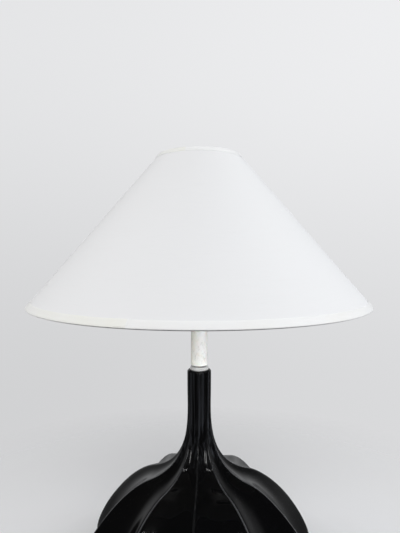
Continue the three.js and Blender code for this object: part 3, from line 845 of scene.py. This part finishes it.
def add_holder():
    radius, low, high = span("holder_cap")
    centre = (CAP_FLAT, high - 6)
    inner = CAP_ROUNDING - 2.2
    drop = 9.4
    outline = [(ROD_HOLE, low + 0.4), (ROD_HOLE + 0.5, low), (CAP_FLAT - 0.4, low)]
    outline += arc(centre, CAP_ROUNDING, -90, 0, 16, 12 / CAP_ROUNDING)
    outline += [(radius, high - 2.5), (radius - 0.5, high - 2.2), (radius - 0.5, high - 1.6)]
    outline += [(radius, high - 1.3), (radius, high - 0.3), (radius - 0.3, high)]
    outline += [(radius - HOLDER_WALL, high)]
    outline += arc(centre, inner, 0, -90, 12, drop / inner)
    outline += [(ROD_HOLE, centre[1] - drop)]
    cap = turned("lampholder_cap", softened(outline, 0.3, 2), 120, angle=45)
    piece(cap, "base", "white_plastic", "holder_cap", white_plastic)

    radius, low, high = span("holder_shell")
    bore = radius - HOLDER_WALL
    thread = upright(radius, low + 3, high - 1, int((high - low - 4) * 3))
    outline = [(bore, low), (radius, low), (radius, low + 2.4), *thread]
    outline += [(radius - 0.5, high), (bore + 0.4, high), (bore, high - 0.5)]
    ridges = helix(HOLDER_PITCH, HOLDER_THREAD, low + 3, high - 1)
    shell = turned("lampholder_shell", outline, 96, ridges, angle=50)
    piece(shell, "base", "white_plastic", "holder_shell", white_plastic)

    radius, low, high = span("contact_shell")
    rows = int((high - low) * 3)
    outline = upright(radius, low, high, rows) + upright(CONTACT_BORE, high, low, rows)
    ridges = helix(BULB_PITCH, CONTACT_THREAD, low, high)
    sleeve = turned("contact_sleeve", outline, 96, ridges, angle=60)
    piece(sleeve, "base", "brass", "contact_shell", brass)


def add_shade_rings():
    for node, body, name in (
        ("shade_seat_ring", "base", "seat_ring"),
        ("shade_clamp_ring", "clamp_ring", "clamp_ring_nut"),
    ):
        radius, low, high = span(node)
        outline = [(RING_BORE, low + 0.4), (RING_BORE + 0.4, low), (radius, low), (radius, high)]
        outline += [(RING_BORE + 0.4, high), (RING_BORE, high - 0.4)]

        def grips(turn, reach, height, radius=radius):
            if reach < radius - 1.4:
                return reach
            return reach - GRIP_DEPTH * smoothstep(math.cos(turn * RING_GRIPS), -0.2, 0.5)

        ring = turned(name, refined(softened(outline, 0.9, 4), 1.6), 288, grips, angle=50)
        piece(ring, body, "white_plastic", node, white_plastic)


add_holder()
add_shade_rings()


# ---------------- bulb
BULB_CENTRE = 623
BULB_NECK = 13.6
GLASS_WALL = 1.2
CAP_BORE = 10.5
CAP_THREAD = 1
CAP_THREAD_END = 17
COIL_START = 0.33  # share of the wire's length
COIL_TURNS = 26
COIL_RADIUS = 0.5
COIL_WIRE = 0.16
LEAD_WIRE = 0.4


def add_bulb_cap():
    radius, low, high = span("bulb_cap")
    thread = upright(radius, low + 1.2, high, 84)
    outline = [(CAP_BORE, low), *thread, (radius - 0.7, high), (11.4, low + 1.6), (CAP_BORE, low + 0.7)]
    ridges = helix(BULB_PITCH, CAP_THREAD, low + 0.5, low + CAP_THREAD_END)
    cap = turned("bulb_screw_cap", outline, 96, ridges, angle=50)
    piece(cap, "bulb", "zinc_steel", "bulb_cap", zinc_steel)

    _, low, high = span("bulb_insulator")
    outline = [(0, low), (5, low), (CAP_BORE, high - 0.6), (CAP_BORE, high), (0, high)]
    seal = turned("bulb_glass_seal", softened(outline, 0.5, closed=False), 64)
    piece(seal, "bulb", "dark_glass", "bulb_insulator", dark_glass)

    radius, low, high = span("bulb_tip")
    outline = [(0, low), (2, low + 0.05), (3.3, low + 0.35), (radius, low + 0.9), (radius, high), (0, high)]
    tip = turned("bulb_solder_tip", softened(outline, 0.3, closed=False), 48)
    piece(tip, "bulb", "zinc_steel", "bulb_tip", zinc_steel)


def add_bulb_glass():
    radius, low, _ = span("bulb_glass")
    rise = BULB_CENTRE - low
    above_neck = (BULB_NECK + 1, low + 0.42 * rise)
    bell = bezier((BULB_NECK, low), above_neck, (radius, BULB_CENTRE - 0.5 * rise), (radius, BULB_CENTRE), 28)
    dome = arc((0, BULB_CENTRE), radius, 0, 90, 28)
    outer = bell + dome[1:-1] + [(0, BULB_CENTRE + radius)]
    inner = []
    for reach, height in reversed(outer):
        above = max(height - BULB_CENTRE, 0)
        length = math.hypot(reach, above)
        scale = (length - GLASS_WALL) / length
        inner.append((reach * scale, height - above * (1 - scale)))
    piece(turned("bulb_envelope", inner + outer, 96), "bulb", "opal_glass", "bulb_glass", opal_glass)


def add_bulb_inside():
    _, low, high = span("bulb_mount")
    flare = bezier((9.2, low + 2), (5, low + 7), (4.4, low + 10), (3.6, low + 16), 10)
    outline = [(0, low), (9.5, low), (9.5, low + 1), *flare]
    outline += [(3, high - 3), (3.4, high - 1.5), (2.4, high), (0, high)]
    stem = turned("glass_stem", softened(outline, 0.6, closed=False), 48)
    piece(stem, "bulb", "clear_glass", "bulb_mount", clear_glass)

    lead = [(2, 0, high + 0.4), (7, 0, high + 9), (13, 0, high + 19)]
    other_lead = [(-x, y, z) for x, y, z in lead]
    path = smooth_path([*other_lead, (0, 4, high + 22), *reversed(lead)], 160)
    coil = []
    radii = []
    for i, place in enumerate(path):
        share = (i / (len(path) - 1) - COIL_START) / (1 - 2 * COIL_START)
        coiled = 0 < share < 1
        if coiled:
            turn = FULL_TURN * share * COIL_TURNS
            place = place + Vector((0, math.cos(turn), math.sin(turn))) * COIL_RADIUS
        coil.append(place)
        radii.append(COIL_WIRE if coiled else LEAD_WIRE)
    filament = swept("filament_and_leads", coil, LEAD_WIRE, 8, radii)
    piece(filament, "bulb", "tungsten", "bulb_filament", tungsten)


add_bulb_cap()
add_bulb_glass()
add_bulb_inside()


# ---------------- shade
SHADE_BOTTOM = 490
SHADE_TOP_RADIUS = 62
LAMINATE = 0.8
CREVICE = 0.3
TAPE = 0.4
BOTTOM_TAPE_WIDTH = 10
TOP_TAPE_WIDTH = 8
RIM_WIRE = 1.2
WIRE_ALONG = 0.8 + RIM_WIRE  # from the wall's edge to the wire's middle
FITTER_BORE = 20.6
ARM_WIRE = 1.5
ARM_COUNT = 3
SEAM_HALF_WIDTH = 6
TAPE_CUT_SLANT = 0.35
SHADE_SIDES = 256

RIM_BOTTOM = Vector((span("shade_bottom_tape")[0], SHADE_BOTTOM))
RIM_TOP = Vector((SHADE_TOP_RADIUS, span("shade_top_tape")[2]))
SLANT = (RIM_TOP - RIM_BOTTOM).normalized()
OUTWARDS = Vector((SLANT.y, -SLANT.x))
WALL_OFFSET = LAMINATE / 2 + CREVICE + TAPE
EDGE_OFFSET = CREVICE + TAPE
WALL_BOTTOM = RIM_BOTTOM - OUTWARDS * WALL_OFFSET + SLANT * EDGE_OFFSET
WALL_TOP = RIM_TOP - OUTWARDS * WALL_OFFSET - SLANT * EDGE_OFFSET
WALL_LENGTH = (WALL_TOP - WALL_BOTTOM).length
WIRE_OFF = -(LAMINATE / 2 + CREVICE + RIM_WIRE)


def on_wall(off, along, edge=WALL_BOTTOM, inwards=SLANT):
    """Radius and height of a place off the wall's middle and along it from a rim."""
    place = edge + OUTWARDS * off + inwards * along
    return place.x, place.y


def add_laminate():
    """The cover's cone, with the film that stiffens it as its inner face."""
    half = LAMINATE / 2
    rows = 40
    outer = [on_wall(half, WALL_LENGTH * row / rows) for row in range(rows + 1)]
    inner = [on_wall(-half, WALL_LENGTH * row / rows) for row in range(rows, -1, -1)]

    def uneven(turn, radius, height):
        place = Vector((math.cos(turn) * 1.6, math.sin(turn) * 1.6, height * 0.006))
        from_rim = min(radius - WALL_TOP.x, WALL_BOTTOM.x - radius)
        return radius + 0.35 * noise.noise(place) * smoothstep(from_rim, 8, 30)

    cone = turned("shade_cover", outer + inner, SHADE_SIDES, uneven)
    piece(cone, "shade", "shade_laminate", "shade_laminate", shade_outside, shade_inside)
    for face in cone.data.polygons:
        inward = face.normal.x * face.center.x + face.normal.y * face.center.y < 0
        face.material_index = 1 if inward else 0
    return cone


def wall_plate(name, turns, layers, ends, columns, rows, edge=WALL_BOTTOM, inwards=SLANT):
    """A thin plate that lies on the wall.

    It runs between two angles, each a function of the way along, from layers[0] to
    layers[1] off the wall's middle, and along the wall from ends[0] to ends[1].
    """
    verts, faces = [], []
    for layer, off in enumerate(layers):
        for row in range(rows + 1):
            here = ends[0] + (ends[1] - ends[0]) * row / rows
            for column in range(columns + 1):
                border = row in (0, rows) or column in (0, columns)
                radius, height = on_wall(off - (0.12 if border and layer else 0), here, edge, inwards)
                first, last = (side(here) for side in turns)
                turn = first + (last - first) * column / columns
                verts.append((radius * math.cos(turn), radius * math.sin(turn), height))
    width = columns + 1
    layer_size = width * (rows + 1)
    for row in range(rows):
        for column in range(columns):
            a = row * width + column
            corners = [a, a + width, a + width + 1, a + 1]
            faces.append(corners)
            faces.append([layer_size + corner for corner in (corners[0], *reversed(corners[1:]))])
    rim = list(range(width))
    rim += [row * width + columns for row in range(1, rows + 1)]
    rim += [rows * width + c for c in range(columns - 1, -1, -1)]
    rim += [row * width for row in range(rows - 1, 0, -1)]
    for here, after in zip(rim, rim[1:] + rim[:1]):
        faces.append([here, after, layer_size + after, layer_size + here])
    return mesh_object(name, verts, faces)


def add_cover_seam():
    """The cover's ends overlap and are glued down the back."""

    def side(sign):
        return lambda along: BACK + sign * SEAM_HALF_WIDTH / on_wall(0, along)[0]

    layers = (LAMINATE / 2 - 0.05, LAMINATE / 2 + 0.4)
    ends = (BOTTOM_TAPE_WIDTH + CREVICE, WALL_LENGTH - TOP_TAPE_WIDTH - CREVICE)
    seam = wall_plate("cover_seam", (side(-1), side(1)), layers, ends, 6, 30)
    return piece(seam, "shade", "shade_laminate", None, shade_outside)


def tape_outline(edge, inwards, width):
    """The tape folds round the edge and its wire, from the outside to the inside and back."""
    outer = LAMINATE / 2 + CREVICE
    fold = -CREVICE - TAPE
    wire = (WIRE_OFF, WIRE_ALONG)
    wire_top = WIRE_ALONG + RIM_WIRE
    reach = RIM_WIRE + CREVICE
    points = [
        (LAMINATE / 2 + 0.6 * TAPE, width),
        (LAMINATE / 2 + TAPE, width - 0.2),
        (outer + TAPE, width - 2),
        (outer + TAPE, 0.9),
        (outer + TAPE - 0.12, 0.1),
        (outer + TAPE - 0.4, -0.4),
        (outer - 0.35, fold),
        (-LAMINATE / 2, fold + 0.05),
        *arc(wire, reach + TAPE, -62, -180, 8),
        (WIRE_OFF - reach - TAPE, wire_top),
        (WIRE_OFF - reach, wire_top),
        *arc(wire, reach, 180, 290, 8),
        (-LAMINATE / 2, -CREVICE),
        (outer - 0.35, -CREVICE),
        (outer, 0.2),
        (outer, width - 2),
        (LAMINATE / 2, width - 0.2),
    ]
    return [on_wall(off, along, edge, inwards) for off, along in points]


def add_tapes():
    for name, node, edge, inwards, width in (
        ("bottom_binding", "shade_bottom_tape", WALL_BOTTOM, SLANT, BOTTOM_TAPE_WIDTH),
        ("top_binding", "shade_top_tape", WALL_TOP, -SLANT, TOP_TAPE_WIDTH),
    ):
        outline = refined(softened(tape_outline(edge, inwards, width), 0.35, 2), 2.4)

        def creased(turn, radius, height):
            place = Vector((math.cos(turn) * 9, math.sin(turn) * 9, height * 0.12))
            return radius + 0.12 * noise.noise(place)

        tape = turned(name, outline, SHADE_SIDES, creased, angle=60)
        piece(tape, "shade", "shade_tape", node, shade_tape)


def add_tape_ends():
    """Each tape's end laps over its start with a slanting cut."""
    outer = LAMINATE / 2 + CREVICE + TAPE
    for name, edge, inwards, width, turn, length in (
        ("bottom_binding_end", WALL_BOTTOM, SLANT, BOTTOM_TAPE_WIDTH, TAPE_END, 14),
        ("top_binding_end", WALL_TOP, -SLANT, TOP_TAPE_WIDTH, BACK, 12),
    ):

        def cut_side(along, turn=turn, radius=edge.x):
            return turn + TAPE_CUT_SLANT * along / radius

        def far_side(along, turn=turn, length=length, radius=edge.x):
            return turn - length / radius

        layers = (outer - 0.3, outer + 0.32)
        end = wall_plate(name, (far_side, cut_side), layers, (0.4, width - 0.1), 8, 8, edge, inwards)
        piece(end, "shade", "shade_tape", None, shade_tape)


def add_frame_wires():
    for name, node, edge, inwards in (
        ("bottom_rim_wire", "shade_bottom_wire", WALL_BOTTOM, SLANT),
        ("top_rim_wire", "shade_top_wire", WALL_TOP, -SLANT),
    ):
        centre = on_wall(WIRE_OFF, WIRE_ALONG, edge, inwards)
        outline = arc(centre, RIM_WIRE, 0, 360, 16)[:-1]
        piece(turned(name, outline, SHADE_SIDES), "shade", "white_wire", node, white_wire)

    radius, low, high = span("fitter_ring")
    middle = (low + high) / 2
    outline = softened(flat_ring(FITTER_BORE, radius, low, high), 0.5, 4)
    piece(turned("spider_ring", outline, 128), "shade", "white_wire", "fitter_ring", white_wire)

    top_radius, top_height = on_wall(WIRE_OFF, WIRE_ALONG, WALL_TOP, -SLANT)
    arm_top = top_radius - RIM_WIRE - TAPE - 2 * CREVICE - ARM_WIRE - 1.5
    arm_bottom = radius + 0.9
    for arm in range(ARM_COUNT):
        bends = [(arm_top, 0, top_height + 1), (arm_top - 2, 0, top_height - 12)]
        bends += [(arm_bottom + 8, 0, middle + 14), (arm_bottom + 4, 0, middle + 1)]
        path = smooth_path([*bends, (arm_bottom - 1.6, 0, middle)], 48)
        path.insert(0, Vector((top_radius - 1, 0, top_height + 1.2)))
        turn = BACK + arm * FULL_TURN / ARM_COUNT
        bar = swept("spider_wire_%d" % (arm + 1), path, ARM_WIRE, 14)
        bar.data.transform(Matrix.Rotation(turn, 4, "Z"))
        piece(bar, "shade", "white_wire", "spider_arm_%d" % (arm + 1), white_wire)


cover = add_laminate()
seam = add_cover_seam()
add_tapes()
add_tape_ends()
add_frame_wires()


# ---------------- small parts kept from the CAD model
KEPT = {
    "holder_core": white_plastic,
    "rod_lock_screw": zinc_steel,
    "terminal_screw_live": brass,
    "terminal_screw_neutral": brass,
    "centre_contact": brass,
}
for node, maker in KEPT.items():
    finish_with(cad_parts[node], maker)


# ---------------- stage
FLOOR_SOLID = 0.35  # the floor is whole this far from the lamp, and fades out beyond
FLOOR_END = 0.9
FLOOR_SIDES = 96


def add_floor():
    """A pale round floor that fades into the background, and is clear from below."""
    rim = arc((0, 0), FLOOR_END / MM, 0, 360, FLOOR_SIDES)[:-1]
    verts = [(0, 0, 0), *((x, y, 0) for x, y in rim)]
    faces = [[0, 1 + side, 1 + (side + 1) % FLOOR_SIDES] for side in range(FLOOR_SIDES)]
    floor = mesh_object("floor", verts, faces, 0)
    look = Look("floor", (0.8, 0.8, 0.81), 0.7, Emission_Strength=0.14, Emission_Color=(1, 1, 1, 1))
    look.stain((2, 3), 0.3, 0.7, (0.76, 0.76, 0.77), 0.4)
    length = look.node("VectorMath", look.place)
    length.operation = "LENGTH"
    fade = look.ramp(length.outputs["Value"], FLOOR_SOLID, FLOOR_END, 1, 0)
    below = look.node("NewGeometry").outputs["Backfacing"]
    look.links.new(look.combine(fade, look.ramp(below, 0, 1, 1, 0)), look.shader.inputs["Alpha"])
    floor.data.materials.append(look.material)
    floor.visible_glossy = False
    floor.visible_diffuse = False


def add_area(name, place, target, size, power, colour=(1, 1, 1), in_reflections=True):
    data = bpy.data.lights.new(name, "AREA")
    data.shape = "RECTANGLE"
    data.size, data.size_y = size
    data.energy = power
    data.color = colour
    light = bpy.data.objects.new(name, data)
    light.location = place
    light.rotation_euler = (Vector(target) - Vector(place)).to_track_quat("-Z", "Y").to_euler()
    light.visible_glossy = in_reflections
    light.visible_camera = False
    bpy.context.scene.collection.objects.link(light)
    return light


def only_for(light, lit, shading=()):
    """Makes a light shine on some pieces alone, and take its shadows from those in shading, if any."""
    for use, names in (("receiver", lit), ("blocker", shading)):
        if names:
            group = bpy.data.collections.new(light.name + "_" + use)
            for name in names:
                group.objects.link(bpy.data.objects[name])
            setattr(light.light_linking, use + "_collection", group)


BACK_WALL = 0.56  # brightness of the wall behind the lamp
ROOM = 0.05  # and of the rest of the room


def add_world():
    """A pale backdrop, and a room that is bright behind the lamp and dim in front of it."""
    world = bpy.data.worlds.new("studio")
    bpy.context.scene.world = world
    world.use_nodes = True
    tree = world.node_tree
    tree.nodes.clear()
    direction = add_node(tree, "SeparateXYZ", add_node(tree, "TexCoord").outputs["Generated"])

    def ranged(axis, *limits):
        node = add_node(tree, "MapRange", direction.outputs[axis], *limits)
        node.interpolation_type = "SMOOTHSTEP"
        return node.outputs["Result"]

    def background(colour, strength):
        return add_node(tree, "Background", Color=(*colour, 1), Strength=strength).outputs["Background"]

    def product(first, second):
        return calculated(tree, "MULTIPLY", first, second)

    backdrop = product(ranged("Z", -0.35, 0.45, 0.67, 0.82), ranged("X", -0.5, 0.5, 0.97, 1.06))
    seen = background((0.98, 0.985, 1), backdrop)
    right_wall = product(ranged("X", 0.3, 1, 0, 0.32), ranged("Y", 0.05, 0.5, 0, 1))
    walls = calculated(tree, "ADD", ranged("Y", 0.5, 1, 0, 1), right_wall)
    low_walls = product(walls, ranged("Z", 0.25, 0.7, 1, 0))
    wall = product(low_walls, ranged("Z", -0.3, 0.05, 0.25, 1))
    room = background((0.97, 0.98, 1), calculated(tree, "MULTIPLY_ADD", wall, BACK_WALL, ROOM))
    in_view = add_node(tree, "LightPath").outputs["Is Camera Ray"]
    mix = add_node(tree, "MixShader", in_view, room, seen)
    add_node(tree, "OutputWorld", Surface=mix.outputs["Shader"])


def add_row(name, spread, place, target, size, power, lit=()):
    """Like lights side by side, at the distances to the side that spread gives."""
    for number, across in enumerate(spread):
        light = add_area("%s_%d" % (name, number + 1), (across, *place), target, size, power)
        if lit:
            only_for(light, lit)


def add_glints():
    """Narrow and small lights that give the glaze its streaks and sparkles."""
    add_row("ceiling_spot", (-0.16, 0.02, 0.19), (0.8, 1.78), (0, -0.08, 0.22), (0.1, 0.1), 0.47)
    glaze = ("glazed_body",)
    add_row("front_strip", (-0.55, 0.12, 0.5), (-1.6, 0.8), (0, 0, 0.28), (0.1, 0.55), 1.7, glaze)
    spread = (-0.3, -0.05, 0.12, 0.45)
    add_row("front_spot", spread, (-1.6, 1.62), (0, 0, 0.27), (0.05, 0.05), 0.28, glaze)
    add_area("right_window", (1.7, 0.1, 0.32), (0, 0, 0.3), (0.25, 0.3), 0.2, (0.8, 0.88, 1))


def add_soft_light():
    """Broad light from the front and both sides, with more for the stem and the underside."""
    shade = (0, 0, 0.55)
    side_size = (0.6, 1.2)
    soft = {"in_reflections": False}
    add_area("left_fill", (-1.75, -0.25, 1), shade, side_size, 15, **soft)
    add_area("right_fill", (1.75, -0.25, 1), shade, side_size, 17, (0.94, 0.97, 1), **soft)
    add_area("room_light", (0.25, -2.2, 2), (0, 0, 0.5), (2.4, 1.8), 59, (0.985, 0.99, 1), **soft)
    stem_light = add_area("stem_light", (0.3, -1.1, 0.72), (0, 0, 0.45), (4.2, 0.4), 33, **soft)
    only_for(stem_light, ("stem", "collar"), ("stem", "collar", "glazed_body"))
    under_light = add_area("under_light", (0, -0.3, -1), (0, 0, 0.1), (1, 1), 12, **soft)
    fasteners = ("rod", "floor_washer", "toothed_washer", "hexagon_nut")
    underside = ("glazed_body", "inlet_bushing", "felt_pad", *fasteners)
    only_for(under_light, underside, underside)


add_floor()
add_world()
add_glints()
add_soft_light()
bpy.context.scene.view_settings.view_transform = "Standard"
